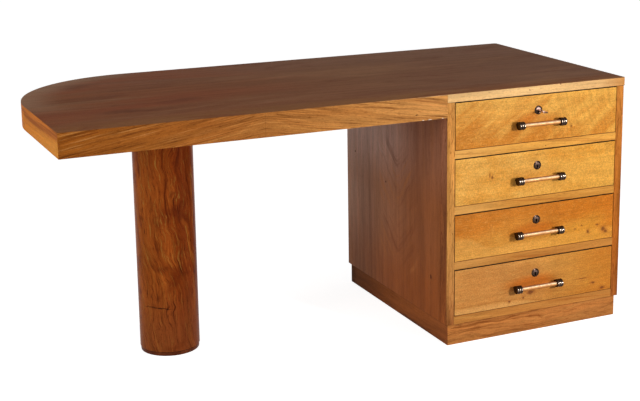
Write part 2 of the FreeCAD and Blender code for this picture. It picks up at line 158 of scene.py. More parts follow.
class Paint(Graph):
    """One material and the nodes that colour it. Calls that make a node return its output."""

    def __init__(self, name, roughness, specular, metallic=0.0):
        self.material = bpy.data.materials.new(name + "_finish")
        self.material.use_nodes = True
        super().__init__(self.material.node_tree)
        self.shader = self.nodes["Principled BSDF"]
        self.put(self.shader.inputs["Roughness"], roughness)
        self.put(self.shader.inputs["Specular IOR Level"], specular)
        self.put(self.shader.inputs["Metallic"], metallic)
        self.roughness = roughness
        self.place = self.node("ShaderNodeTexCoord").outputs["Object"]
        self.x, self.y, self.z = self.node("ShaderNodeSeparateXYZ", [self.place]).outputs

    def vector(self, *values):
        return self.node("ShaderNodeCombineXYZ", values).outputs[0]

    def scaled(self, place, *scale):
        return self.node("ShaderNodeVectorMath", [place, scale], operation="MULTIPLY").outputs[0]

    def moved(self, place, step):
        return self.node("ShaderNodeVectorMath", [place, step], operation="ADD").outputs[0]

    def noise(self, place, scale=1.0, detail=3.0, roughness=0.55, distortion=0.0):
        """Soft noise at one scale, or at its own scale along each axis."""
        if isinstance(scale, tuple):
            place, scale = self.scaled(place, *scale), 1.0
        values = {"Vector": place, "Scale": scale, "Detail": detail, "Roughness": roughness}
        values["Distortion"] = distortion
        return self.node("ShaderNodeTexNoise", values).outputs["Fac"]

    def span(self, value, low, high, start=0.0, end=1.0):
        """Goes smoothly from start to end while the value goes from low to high."""
        values = {0: value, 1: low, 2: high, 3: start, 4: end}
        return self.node("ShaderNodeMapRange", values, interpolation_type="SMOOTHSTEP").outputs[0]

    def share(self, value, low, high):
        """How far the value is from low to high, as a share."""
        return self.node("ShaderNodeMapRange", {0: value, 1: low, 2: high}).outputs[0]

    def mix(self, factor, first, second, blend="MIX"):
        values = {0: factor, 6: first, 7: second}
        return self.node("ShaderNodeMix", values, data_type="RGBA", blend_type=blend).outputs[2]

    def lay(self, colour, value, low, high, strength, over):
        """Lays another colour over one, more of it as the value goes from low to high."""
        return self.mix(self.span(value, low, high, 0.0, strength), colour, over)

    def times(self, *values):
        product = values[0]
        for value in values[1:]:
            product = self.math("MULTIPLY", product, value)
        return product

    def plus(self, first, second):
        return self.math("ADD", first, second)

    def minus(self, first, second):
        return self.math("SUBTRACT", first, second)

    def over(self, value, limit):
        return self.math("GREATER_THAN", value, limit)

    def under(self, value, limit):
        return self.math("LESS_THAN", value, limit)

    def away(self, value, centre):
        """How far the value is from the centre, to either side."""
        return self.math("ABSOLUTE", self.minus(value, centre))

    def near(self, value, centre, reach):
        """1 where the value is at the centre, down to 0 at its reach."""
        return self.span(self.away(value, centre), reach, 0.0)

    def warped(self, size, scale):
        """Coordinates that wander by up to half the size."""
        swirl = self.node("ShaderNodeTexNoise", {"Vector": self.place, "Scale": scale, "Detail": 3.0})
        step = self.moved(swirl.outputs["Color"], (-0.5, -0.5, -0.5))
        return self.moved(self.place, self.scaled(step, size, size, size))

    def length(self, place):
        return self.node("ShaderNodeVectorMath", [place], operation="LENGTH").outputs["Value"]

    def spot(self, centre, radii, soft, place=None):
        """1 inside an ellipsoid and 0 outside it, fading outwards from the soft share of its radius."""
        step = self.moved(place or self.place, [-value for value in centre])
        return self.span(self.length(self.scaled(step, *[1 / radius for radius in radii])), 1.0, soft)

    def ramp(self, value, *stops):
        """A colour that follows the value through stops of a value and three screen values."""
        node = self.node("ShaderNodeValToRGB", [value])
        elements = node.color_ramp.elements
        while len(elements) < len(stops):
            elements.new(0.5)
        for element, (position, *colour) in zip(elements, stops):
            element.position, element.color = position, tone(*colour)
        return node.outputs["Color"]

    def shade(self, colour, amount):
        """The colour times a grey amount."""
        if isinstance(amount, float):
            amount = (amount,) * 3 + (1.0,)
        return self.mix(1.0, colour, amount, "MULTIPLY")

    def vary(self, colour, value, low, high, darker, lighter):
        """Shades a colour by a value: darker at its low end and lighter at its high end, as shares."""
        return self.shade(colour, self.span(value, low, high, 1 - darker, 1 + lighter))

    def bump(self, height, distance, strength):
        values = {"Height": height, "Distance": distance, "Strength": strength}
        self.put(self.shader.inputs["Normal"], self.node("ShaderNodeBump", values).outputs[0])

    def done(self, colour, roughness=None):
        self.put(self.shader.inputs["Base Color"], colour)
        if roughness is not None:
            self.put(self.shader.inputs["Roughness"], roughness)
        return self.material


# ---- Woods ----

GRAIN = {"x": (1, 16, 16), "y": (16, 1, 16), "z": (16, 16, 1)}
DARK_GRAIN = (0.34, 0.15, 0.05, 1)  # what a dark line leaves of each channel under it
GAP_SHADE_AND_DIRT = tone(64, 34, 18)  # painted shade, with some dirt and polish, that darkens edges inside a narrow gap
# Painted shade, nearly black, for the top edge inside a gap.
GAP_SHADE_BLACK = tone(28, 13, 6)
EDGE_DEPTH = 0.0007
RAGGED = (0.009, 90)  # the size and scale of a mark's ragged outline


def grained(paint, colour, along, streak, pore, place=None, fine=1, seed=0, grit=0.08):
    """Finishes a wood: streaks, fine lines, grit and short dark pores along one axis, with their bump."""
    place = paint.moved(place or paint.place, (seed, seed * 0.7, seed * 1.3))
    wander = paint.times(paint.noise(place, 3, 1), 0.03)
    stretched = paint.scaled(paint.moved(place, paint.vector(wander, wander, wander)), *GRAIN[along])
    streaks = paint.noise(stretched, 3.2 * fine, 5, 0.62, 0.2)
    lines = paint.noise(stretched, 14 * fine, 3, 0.7)
    pores = paint.span(paint.noise(stretched, 46 * fine, 1), 0.40, 0.3)
    specks = paint.noise(place, 330, 2, 0.7)
    colour = paint.vary(colour, streaks, 0.28, 0.72, streak, 0.8 * streak)
    colour = paint.vary(colour, lines, 0.3, 0.7, 0.5 * streak, 0.4 * streak)
    colour = paint.vary(colour, specks, 0.3, 0.7, grit, grit)
    colour = paint.mix(paint.times(pores, pore), colour, paint.mix(1, colour, DARK_GRAIN, "MULTIPLY"))
    paint.bump(paint.minus(lines, pores), 0.00025, 0.6)
    return paint.done(colour)


def marks(paint, colour, spots, dark, strength=1):
    """Small dark marks with a ragged outline. Each spot is its centre and its radii."""
    place = paint.warped(*RAGGED)
    for centre, radii in spots:
        mask = paint.times(paint.spot(centre, radii, 0.25, place), strength)
        colour = paint.mix(mask, colour, dark)
    return colour


def round_place(paint):
    """The angle round the column's axis and the distance from it."""
    step = paint.moved(paint.place, (-COLUMN.x, -COLUMN.y, 0))
    x, y, _ = paint.node("ShaderNodeSeparateXYZ", [step]).outputs
    return paint.math("ARCTAN2", y, x), paint.length(paint.scaled(step, 1, 1, 0))


TOP_SMUDGES = (  # x, y, and the reach along each
    (-0.62, -0.18, 0.12, 0.045),
    (-0.465, -0.10, 0.15, 0.05),
    (-0.664, 0.246, 0.10, 0.06),
)


def top_veneer():
    """Dark brown with long soft clouds, redder to the left, greyer to the right. Painted reflection makes
    it greyer to the back and pale along the front edge and the rim.
    """
    paint = Paint("top_veneer", 0.5, 0.002)
    across = paint.share(paint.x, TOP_LOW.x, TOP_HIGH.x)
    deep = paint.share(paint.y, TOP_LOW.y, TOP_HIGH.y)
    colour = paint.ramp(
        across, (0, 134, 84, 56), (0.3, 130, 81, 54), (0.6, 130, 88, 63), (1, 128, 91, 71)
    )
    # Greyer towards the back: painted reflection haze.
    colour = paint.lay(colour, deep, 0.55, 1, 0.7, tone(135, 98, 78))
    place = paint.scaled(paint.place, 1.6, 5.5, 5.5)
    clouds = paint.noise(paint.moved(place, (3.1, 0.4, 0)), 1.6, 5, 0.65, 0.7)
    colour = paint.lay(colour, clouds, 0.5, 0.72, 0.6, tone(108, 62, 43))
    pale = paint.noise(paint.moved(place, (8, 5, 0)), 1.3, 4, 0.62, 0.5)
    colour = paint.lay(colour, pale, 0.5, 0.76, 0.6, tone(150, 108, 78))
    red = paint.noise(paint.moved(place, (1, 9, 0)), 1, 3, 0.6, 0.4)
    red = paint.times(paint.span(red, 0.45, 0.65), paint.span(across, 0.55, 0.2), 0.6)
    colour = paint.mix(red, colour, tone(138, 74, 48))
    smudged = paint.warped(0.12, 9)
    for x, y, width, depth in TOP_SMUDGES:
        spot = paint.spot((x, y, TOP_HIGH.z), (width, depth, 0.08), 0, smudged)
        colour = paint.mix(paint.times(spot, 0.42), colour, tone(86, 46, 34))
    # A pale band along the front edge: painted reflection.
    painted_sheen_and_wear = paint.mix(paint.span(clouds, 0.4, 0.6), tone(146, 99, 59), tone(134, 82, 50))
    colour = paint.lay(colour, paint.y, TOP_LOW.y + 0.11, TOP_LOW.y, 0.75, painted_sheen_and_wear)
    # Pale along the curved rim at the back left: painted reflection.
    radius = round_place(paint)[1]
    left = paint.span(paint.x, COLUMN.x + 0.1, COLUMN.x - 0.2)
    back = paint.span(paint.y, COLUMN.y - 0.2, COLUMN.y + 0.1)
    rim = paint.times(paint.span(radius, END_RADIUS - 0.12, END_RADIUS), left, back)
    colour = paint.mix(paint.times(rim, 0.7), colour, tone(166, 130, 104))
    return grained(paint, colour, "x", 0.11, 0.3)


APRON_MARK = ((0.148, APRON_LOW.y, 0.7098), (0.005, 0.006, 0.003))
APRON_CHIPS = ((0.170, 0.004), (0.191, 0.008), (0.232, 0.004))  # place along the lower edge, and reach


def front_apron(name="front_apron"):
    """Orange brown, with fine slanting lines that meet at a seam in the middle."""
    paint = Paint(name, 0.42, 0.03)
    seam = (APRON_LOW.x + APRON_HIGH.x) / 2
    away = paint.away(paint.x, seam)
    level = paint.plus(paint.z, paint.times(away, 0.16))
    place = paint.vector(away, paint.y, level)
    colour = paint.ramp(
        paint.share(paint.x, APRON_LOW.x, APRON_HIGH.x),
        (0, 164, 92, 28), (0.35, 178, 106, 44), (0.7, 198, 132, 66), (1, 212, 148, 80),
    )
    bands = paint.noise(place, (2.2, 20, 46), 4, 0.65, 0.5)
    colour = paint.lay(colour, bands, 0.52, 0.7, 0.36, tone(208, 142, 70))
    colour = paint.lay(colour, bands, 0.5, 0.3, 0.4, tone(140, 74, 22))
    threads = paint.noise(place, (7, 20, 330), 3, 0.6, 0.1)
    colour = paint.lay(colour, threads, 0.46, 0.34, 0.72, tone(104, 50, 14))
    colour = paint.lay(colour, threads, 0.56, 0.68, 0.5, tone(226, 160, 88))
    colour = marks(paint, colour, [APRON_MARK], tone(70, 34, 14))
    colour = paint.mix(paint.times(paint.near(paint.x, seam, 0.0008), 0.6), colour, tone(98, 50, 18))
    # A pale line along the top edge at the right: painted highlight on the arris, with some wear.
    edge = paint.span(paint.z, APRON_HIGH.z - 0.0016, APRON_HIGH.z - 0.0004)
    painted_sheen_and_wear = paint.times(edge, paint.span(paint.x, -0.1, 0.2), paint.span(bands, 0.4, 0.6, 0.3, 0.8))
    colour = paint.mix(painted_sheen_and_wear, colour, tone(228, 184, 134))
    ragged = paint.warped(0.004, 120)
    for x, width in APRON_CHIPS:
        chip = paint.spot((x, APRON_LOW.y, APRON_LOW.z), (width, 0.004, 0.0034), 0.4, ragged)
        colour = paint.mix(chip, colour, tone(244, 228, 204))
    return grained(paint, colour, "x", 0.20, 0.6, place, 1.5)


def end_apron(name="end_apron", curved=False):
    """Orange with dark streaks along its upper part. The curved piece's lines go round the end."""
    paint = Paint(name, 0.42, 0.004)
    place = paint.place
    if curved:
        angle, radius = round_place(paint)
        place = paint.vector(radius, paint.times(angle, -END_RADIUS), paint.z)
    wander = paint.noise(place, (1, 3, 6), 2)
    level = paint.plus(paint.z, paint.times(wander, 0.04))
    upper = paint.span(level, APRON_LOW.z + 0.050, APRON_LOW.z + 0.070)
    streak = paint.noise(place, (4, 2.5, 130), 4, 0.65, 0.3)
    colour = paint.mix(paint.share(paint.y, COLUMN.y, TOP_LOW.y), tone(206, 122, 36), tone(215, 139, 52))
    shaded = paint.mix(paint.span(streak, 0.4, 0.62), tone(190, 108, 36), tone(140, 70, 22))
    colour = paint.mix(paint.times(upper, 0.9), colour, shaded)
    colour = paint.lay(colour, streak, 0.52, 0.68, 0.35, tone(168, 92, 34))
    return grained(paint, colour, "y", 0.12, 0.35, place)


STRIP_SPECKS = (
    ((0.523, TOP_LOW.y, 0.749), (0.004, 0.006, 0.002)),
    ((0.628, TOP_LOW.y, 0.7575), (0.004, 0.006, 0.003)),
)


def edge_strips():
    """Pale honey solid wood with a few dark specks, and a painted shade line along its lower edge."""
    paint = Paint("edge_strips", 0.42, 0.1)
    colour = paint.ramp(
        paint.share(paint.x, SIDE_LOW.x, TOP_HIGH.x),
        (0, 224, 178, 116), (0.5, 230, 184, 122), (0.85, 222, 173, 112), (1, 196, 134, 70),
    )
    colour = marks(paint, colour, STRIP_SPECKS, tone(96, 52, 26))
    # A dark line along the lower edge, over the gap: painted shade.
    colour = paint.lay(colour, paint.z, TOP_HIGH.z - 0.0245, TOP_HIGH.z - 0.0252, 1, GAP_SHADE_AND_DIRT)
    return grained(paint, colour, "x", 0.14, 0.35)


def shaded_gap_edges(paint, colour, low, high):
    """Paints shade, with some dirt, on a front's edge faces, which lie inside the gaps round it, darkest on
    the top edge and fading a few millimetres in from the face.
    """
    top = paint.over(paint.z, high.z - EDGE_DEPTH)
    foot = paint.under(paint.z, low.z + EDGE_DEPTH / 2)
    left = paint.under(paint.x, low.x + EDGE_DEPTH / 2)
    right = paint.over(paint.x, high.x - EDGE_DEPTH / 2)
    edges = paint.math("MAXIMUM", foot, paint.math("MAXIMUM", left, right))
    edges = paint.times(edges, paint.span(paint.y, low.y + 0.009, low.y + 0.003))
    top = paint.times(top, paint.span(paint.y, low.y + 0.014, low.y + 0.008))
    return paint.mix(top, paint.mix(edges, colour, GAP_SHADE_AND_DIRT), GAP_SHADE_BLACK)


RAIL_KNOT = ((0.581, FACE, 0.576), (0.003, 0.006, 0.003))
LINE_BELOW, LINE_ABOVE = (0.0008, 0.0014), (0.0020, 0.0022)  # painted shade lines in the gaps: distance from a front, and reach


def rails():
    """Honey wood, palest under the top drawer, with a few slanting brown lines, and painted shade lines
    along the gaps above and below the drawers.
    """
    paint = Paint("rails", 0.42, 0.05)
    colour = paint.ramp(
        paint.share(paint.z, PLINTH_HIGH.z, SIDE_HIGH.z),
        (0, 193, 127, 60), (0.25, 192, 127, 58), (0.5, 206, 140, 60), (0.76, 229, 163, 73),
    )
    left = paint.span(paint.share(paint.x, SIDE_LOW.x, TOP_HIGH.x), 0.4, 0.1, 0, 0.5)
    colour = paint.mix(paint.times(left, paint.span(paint.z, 0.15, 0.32)), colour, tone(228, 172, 98))
    place = paint.vector(paint.x, paint.y, paint.plus(paint.z, paint.times(paint.x, 0.07)))
    bands = paint.noise(place, (2.6, 12, 90), 4, 0.65, 0.5)
    colour = paint.lay(colour, bands, 0.54, 0.68, 0.6, tone(168, 94, 34))
    colour = paint.lay(colour, bands, 0.45, 0.3, 0.4, tone(226, 166, 84))
    for number in DRAWERS:
        low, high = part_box("drawer_{}_front".format(number))
        # Painted shade in the gaps: a brown line under each drawer and a dark line above it.
        below = paint.near(paint.z, low.z - LINE_BELOW[0], LINE_BELOW[1])
        above = paint.near(paint.z, high.z + LINE_ABOVE[0], LINE_ABOVE[1])
        colour = paint.mix(above, paint.mix(below, colour, tone(150, 88, 40)), tone(50, 24, 10))
    colour = marks(paint, colour, [RAIL_KNOT], tone(110, 60, 26))
    return grained(paint, colour, "x", 0.13, 0.35)


CROWN_Y = -0.04  # the middle of the side's nested lines


def side_colour(paint):
    """Brown crown-cut veneer: nested V lines in the middle, upright bands on both sides."""
    sway = paint.noise(paint.place, (1, 4, 2.4), 3, 0.5)
    aside = paint.minus(paint.y, CROWN_Y)
    aside = paint.plus(aside, paint.times(paint.minus(sway, 0.5), 0.10))
    bend = paint.math("SQRT", paint.plus(paint.times(aside, aside), 0.0004))
    level = paint.minus(paint.z, paint.times(bend, 1.1))
    place = paint.vector(0, paint.times(aside, 3), paint.times(level, 18))
    crown = paint.noise(place, 1, 4, 0.65)
    place = paint.vector(0, paint.times(aside, 24), paint.times(paint.z, 1.4))
    upright = paint.noise(place, 1, 4, 0.6, 0.2)
    middle = paint.times(paint.span(bend, 0.17, 0.08), paint.span(paint.z, 0.10, 0.2))
    middle = paint.times(middle, paint.span(paint.z, 0.60, 0.5))
    # Paler and greyer towards the back: painted reflection haze.
    colour = paint.ramp(
        paint.share(paint.y, SIDE_LOW.y, SIDE_HIGH.y),
        (0, 168, 98, 54), (0.3, 166, 100, 60), (0.65, 188, 130, 96), (1, 212, 164, 140),
    )
    # Pale pink high up towards the back: painted reflection haze.
    high = paint.times(paint.span(paint.z, 0.38, 0.6), paint.span(paint.y, -0.22, 0.2, 0.1, 0.9))
    colour = paint.mix(high, colour, tone(244, 206, 192))
    low = paint.mix(paint.span(paint.y, 0, 0.3), tone(166, 88, 38), tone(170, 106, 68))
    colour = paint.lay(colour, paint.z, 0.36, 0.10, 0.8, low)
    outer = paint.times(paint.minus(1, middle), upright)
    figure = paint.plus(paint.times(middle, crown), outer)
    strength = paint.span(middle, 0, 1, 0.2, 0.46)
    colour = paint.mix(paint.times(paint.span(figure, 0.5, 0.66), strength), colour, tone(122, 62, 34))
    return paint.mix(paint.times(paint.span(figure, 0.48, 0.34), strength), colour, tone(200, 122, 66))


SIDE_MARKS = (
    ((SIDE_LOW.x, 0.268, 0.465), (0.006, 0.006, 0.004)),
    ((SIDE_LOW.x, 0.042, 0.413), (0.006, 0.006, 0.004)),
    ((SIDE_LOW.x, -0.262, 0.188), (0.006, 0.005, 0.011)),
)


def side_veneer():
    """The carcass's brown veneer, with a few dark marks."""
    paint = Paint("side_veneer", 0.38, 0.012)
    colour = marks(paint, side_colour(paint), SIDE_MARKS, tone(66, 30, 16))
    return grained(paint, colour, "z", 0.14, 0.4)


def stiles():
    """Upright honey edges, the right one browner, under the sides' brown veneer."""
    paint = Paint("stiles", 0.42, 0.012)
    upward = paint.share(paint.z, PLINTH_HIGH.z, SIDE_HIGH.z)
    left = paint.ramp(
        upward,
        (0, 162, 98, 52), (0.12, 188, 126, 68), (0.3, 208, 145, 76), (0.6, 214, 149, 75),
        (0.9, 200, 136, 67), (1, 203, 141, 73),
    )
    right = paint.ramp(
        upward, (0, 166, 94, 42), (0.2, 164, 90, 31), (0.6, 178, 104, 40), (1, 190, 120, 52)
    )
    colour = paint.mix(paint.over(paint.x, MIDDLE), left, right)
    outside = paint.over(paint.away(paint.x, MIDDLE), MIDDLE - SIDE_LOW.x - 0.0006)
    behind = paint.span(paint.y, FACE + 0.001, FACE + 0.003)
    colour = paint.mix(paint.times(outside, behind), colour, side_colour(paint))
    return grained(paint, colour, "z", 0.38, 0.9)


CRACK_LEVEL = 0.1145
CRACK_PLACE, CRACK_RADII = (-0.53, -0.045, 0.147), (0.05, 0.06, 0.05)
COLUMN_HOLE = ((-0.4152, -0.0357, 0.2366), (0.006, 0.006, 0.011))


def column_veneer():
    """Red brown with a wavy, slightly leaning figure, olive flecks, a crack and a small hole."""
    paint = Paint("column_veneer", 0.3, 0.02)
    angle, radius = round_place(paint)
    arc = paint.times(angle, COLUMN_RADIUS)
    sway = paint.noise(paint.place, (7, 7, 6), 3, 0.5)
    arc = paint.plus(arc, paint.times(sway, 0.09))
    place = paint.vector(paint.plus(arc, paint.times(paint.z, 0.15)), radius, paint.z)
    # Lighter at the left and darker from the middle to the right: in part painted light and shade across
    # the round column.
    colour = paint.ramp(
        paint.share(paint.x, COLUMN_LOW.x, COLUMN_HIGH.x),
        (0, 160, 82, 28), (0.3, 156, 76, 25), (0.55, 136, 58, 15), (0.75, 138, 62, 24),
        (1, 128, 52, 14),
    )
    colour = paint.lay(colour, paint.z, 0.25, 0.05, 0.6, tone(140, 74, 38))
    # Darker towards the top: painted shadow of the apron.
    colour = paint.lay(colour, paint.z, 0.44, COLUMN_HIGH.z, 0.45, tone(104, 36, 8))
    figure = paint.noise(place, (42, 10, 4.2), 5, 0.64, 0.5)
    calm = paint.span(paint.z, 0.14, 0.30, 0.3, 0.8)
    colour = paint.mix(paint.times(paint.span(figure, 0.52, 0.68), calm), colour, tone(176, 94, 34))
    colour = paint.mix(paint.times(paint.span(figure, 0.47, 0.30), calm), colour, tone(94, 34, 10))
    clouds = paint.noise(paint.place, 9, 3, 0.6)
    colour = paint.lay(colour, clouds, 0.53, 0.70, 0.75, tone(104, 38, 12))
    veins = paint.noise(place, (230, 60, 14), 4, 0.72, 0.8)
    colour = paint.lay(colour, veins, 0.46, 0.34, 0.85, tone(66, 22, 8))
    flecks = paint.times(paint.span(veins, 0.55, 0.64), paint.span(figure, 0.38, 0.52), calm)
    colour = paint.mix(paint.times(flecks, 0.75), colour, tone(166, 126, 56))
    wave = paint.times(paint.noise(paint.place, (40, 40, 40), 4, 0.7), 0.02)
    level = paint.plus(paint.plus(paint.z, paint.times(paint.x, 0.08)), wave)
    crack = paint.spot(CRACK_PLACE, CRACK_RADII, 0.5)
    crack = paint.times(paint.near(level, CRACK_LEVEL, 0.0026), crack, 0.9)
    colour = paint.mix(crack, colour, tone(40, 16, 8))
    colour = marks(paint, colour, [COLUMN_HOLE], tone(26, 10, 6))
    return grained(paint, colour, "z", 0.20, 0.5, place)


def column_base():
    """A dark red-brown turned disc."""
    paint = Paint("column_base", 0.42, 0.05)
    scuffs = paint.noise(paint.place, 30, 4, 0.65)
    colour = paint.mix(paint.span(scuffs, 0.4, 0.7), tone(92, 42, 20), tone(124, 62, 30))
    return grained(paint, colour, "x", 0.2, 0.4)


PLINTH_SCUFFS = (
    ((0.294, PLINTH_LOW.y, 0.058), (0.020, 0.012, 0.004)),
    ((0.385, PLINTH_LOW.y, 0.061), (0.030, 0.012, 0.003)),
    ((0.557, PLINTH_LOW.y, 0.061), (0.026, 0.012, 0.004)),
    ((0.705, PLINTH_LOW.y, 0.062), (0.018, 0.012, 0.003)),
)


def plinth_front():
    """Orange brown with flame grain and dark scuffs."""
    paint = Paint("plinth_front", 0.5, 0.04)
    sway = paint.times(paint.noise(paint.place, (5, 5, 9), 3), 0.06)
    place = paint.vector(paint.x, paint.y, paint.plus(paint.z, sway))
    flame = paint.noise(place, (5, 20, 110), 5, 0.68, 0.8)
    colour = paint.mix(paint.span(paint.z, 0.03, 0.045), tone(186, 119, 60), tone(192, 121, 60))
    colour = paint.vary(colour, paint.x, 0.38, 0.26, 0, 0.14)
    colour = paint.lay(colour, flame, 0.52, 0.64, 0.8, tone(140, 76, 32))
    colour = paint.lay(colour, flame, 0.46, 0.32, 0.5, tone(210, 144, 76))
    colour = marks(paint, colour, PLINTH_SCUFFS, tone(104, 54, 26), 0.55)
    # A dark line along the top, under the carcass's overhang: painted shadow.
    colour = paint.lay(colour, paint.z, PLINTH_HIGH.z - 0.006, PLINTH_HIGH.z - 0.002, 0.6, tone(96, 50, 24))
    return grained(paint, colour, "x", 0.20, 0.55, place)


def plinth_returns():
    """Dark brown, darkest at the back and scuffed along the foot."""
    paint = Paint("plinth_returns", 0.5, 0.012)
    colour = paint.ramp(
        paint.share(paint.y, PLINTH_BACK, PLINTH_LOW.y),
        (0, 96, 56, 34), (0.08, 142, 84, 48), (0.4, 160, 90, 45), (1, 163, 92, 47),
    )
    scuffs = paint.noise(paint.place, (10, 10, 60), 4, 0.6)
    low = paint.times(paint.span(paint.z, 0.02, 0.002), paint.span(scuffs, 0.4, 0.7))
    colour = paint.mix(low, colour, tone(96, 54, 30))
    # A dark line just under the carcass's overhang: painted shadow.
    overhang_shadow_end = PLINTH_HIGH.z - 0.003
    colour = paint.lay(colour, paint.z, PLINTH_HIGH.z - 0.008, overhang_shadow_end, 0.75, tone(66, 36, 20))
    return grained(paint, colour, "y", 0.18, 0.45)


DRAWER_TONES = {  # pale and deep
    1: (tone(224, 165, 76), tone(199, 124, 42)),
    2: (tone(227, 168, 80), tone(215, 149, 60)),
    3: (tone(214, 148, 60), tone(197, 117, 36)),
    4: (tone(206, 144, 74), tone(197, 131, 64)),
}
KNOTS = {  # x, z, and the reach along each
    1: [(0.6707, 0.6266, 0.003, 0.003)],
    2: [(0.390, 0.505, 0.003, 0.008), (0.399, 0.499, 0.003, 0.006)],
    3: [
        (0.742, 0.289, 0.006, 0.007),
        (0.798, 0.290, 0.011, 0.009),
        (0.806, 0.281, 0.007, 0.006),
        (0.775, 0.306, 0.007, 0.003),
        (0.718, 0.311, 0.003, 0.003),
        (0.694, 0.302, 0.004, 0.002),
    ],
    4: [
        (0.5385, 0.1248, 0.018, 0.008),
        (0.463, 0.106, 0.005, 0.005),
        (0.512, 0.1115, 0.004, 0.006),
        (0.727, 0.140, 0.022, 0.002),
        (0.7645, 0.120, 0.009, 0.004),
        (0.800, 0.099, 0.011, 0.006),
    ],
}
PULL_GLOW = {1: 0.42, 2: 0.15, 3: 0.65, 4: 0.75}  # how strong the orange is above each pull
GLOW_LEFT, GLOW_RISE, GLOW_REACH = 0.015, 0.003, (0.125, 0.1, 0.032)
MOTTLE = {1: 0.3, 2: 0.26, 3: 0.24, 4: 0.31}  # how strong the fine mottle is
WARMTH = {1: 0.3, 2: 0.55, 3: 0.8, 4: 1}  # how far each front turns to orange at its right end
ORANGE = (0.93, 0.84, 0.5, 1)  # what that leaves of each channel


def curl(paint, place):
    """Short irregular ripples that lean to the left as they rise."""
    across = paint.plus(paint.times(paint.x, 0.95), paint.times(paint.z, 0.30))
    sway = paint.noise(place, 11, 3, 0.6)
    across = paint.plus(across, paint.times(sway, 0.05))
    ripple = paint.vector(paint.times(across, 105), 0, paint.times(paint.z, 6))
    ripple = paint.noise(ripple, 1, 2, 0.4)
    patch = paint.span(paint.noise(place, (16, 16, 12), 2), 0.32, 0.6, 0.3, 1)
    return paint.times(paint.minus(ripple, 0.5), patch)


def pale_lens(paint, colour, level, edge, strength, pale, line):
    """A pale patch where the level is under the edge, with a thin dark line along its rim."""
    colour = paint.mix(paint.times(paint.span(level, edge, edge - 0.08), strength), colour, pale)
    return paint.mix(paint.times(paint.near(level, edge, 0.02), strength, line), colour, tone(166, 92, 34))


def slow_sway(paint, place):
    return paint.noise(place, (3, 3, 9), 3, 0.55, 0.4)


def soft_clouds(paint, colour, place, amount):
    clouds = paint.noise(place, (16, 1, 2.5), 3, 0.55)
    return paint.vary(colour, clouds, 0.35, 0.65, amount, amount)


def curled_figure(paint, pale, deep, place, across, upward):
    """Slanting bands, with curl that grows to the right."""
    along = paint.plus(paint.times(paint.x, 0.8), paint.times(paint.z, 0.6))
    over = paint.minus(paint.times(paint.z, 0.8), paint.times(paint.x, 0.6))
    bands = paint.vector(paint.times(along, 5), 0, paint.times(over, 30))
    bands = paint.noise(bands, 1, 4, 0.6, 0.6)
    level = paint.plus(paint.plus(bands, paint.times(upward, 0.35)), paint.times(across, 0.12))
    colour = paint.mix(paint.span(level, 0.50, 0.95), deep, pale)
    ripple = paint.times(curl(paint, place), paint.span(across, 0.42, 0.72, 0.25, 1))
    return paint.vary(colour, ripple, -0.2, 0.2, 0.14, 0.12)


def rowed_figure(paint, pale, deep, place, across, _):
    """Short pale rows, with a little curl at the right."""
    rows = paint.noise(place, (12, 1, 20), 4, 0.66, 0.4)
    level = paint.plus(paint.times(slow_sway(paint, place), 0.5), paint.times(rows, 0.5))
    colour = paint.mix(paint.span(level, 0.4, 0.6), deep, pale)
    ripple = paint.times(curl(paint, place), paint.span(across, 0.5, 0.9))
    return paint.vary(colour, ripple, -0.2, 0.2, 0.07, 0.06)


def patched_figure(paint, pale, deep, place, across, upward):
    """Deep orange at the top, with a pale patch along the foot that stops short of the left end."""
    drift = paint.minus(slow_sway(paint, place), 0.5)
    level = paint.plus(paint.plus(upward, paint.times(drift, 1.2)), paint.times(across, -0.1))
    colour = paint.mix(paint.span(level, 0.75, 0.05), deep, pale)
    colour = soft_clouds(paint, colour, place, 0.05)
    colour = paint.lay(colour, across, 0.86, 1, 0.7, tone(204, 118, 36))
    rise = paint.minus(upward, paint.times(across, 0.10))
    rise = paint.plus(rise, paint.times(drift, 0.16))
    patch = paint.minus(rise, paint.span(across, 0.25, 0.05, 0, 0.3))
    return pale_lens(paint, colour, patch, 0.2, 0.6, tone(224, 160, 76), 0.2)


def lens_figure(paint, pale, deep, place, across, upward):
    """Slow clouds, with a pale lens at the foot of the left half and orange at the right end."""
    sway = slow_sway(paint, place)
    drift = paint.minus(sway, 0.5)
    colour = paint.mix(paint.span(sway, 0.42, 0.62), deep, pale)
    colour = soft_clouds(paint, colour, place, 0.04)
    rise = paint.plus(paint.plus(upward, paint.times(drift, 0.2)), paint.span(across, 0.35, 0.7, 0, 0.2))
    colour = pale_lens(paint, colour, rise, 0.14, 0.7, tone(224, 164, 92), 0.5)
    return paint.lay(colour, across, 0.7, 1, 0.6, tone(203, 124, 46))


FIGURES = {1: curled_figure, 2: rowed_figure, 3: patched_figure, 4: lens_figure}


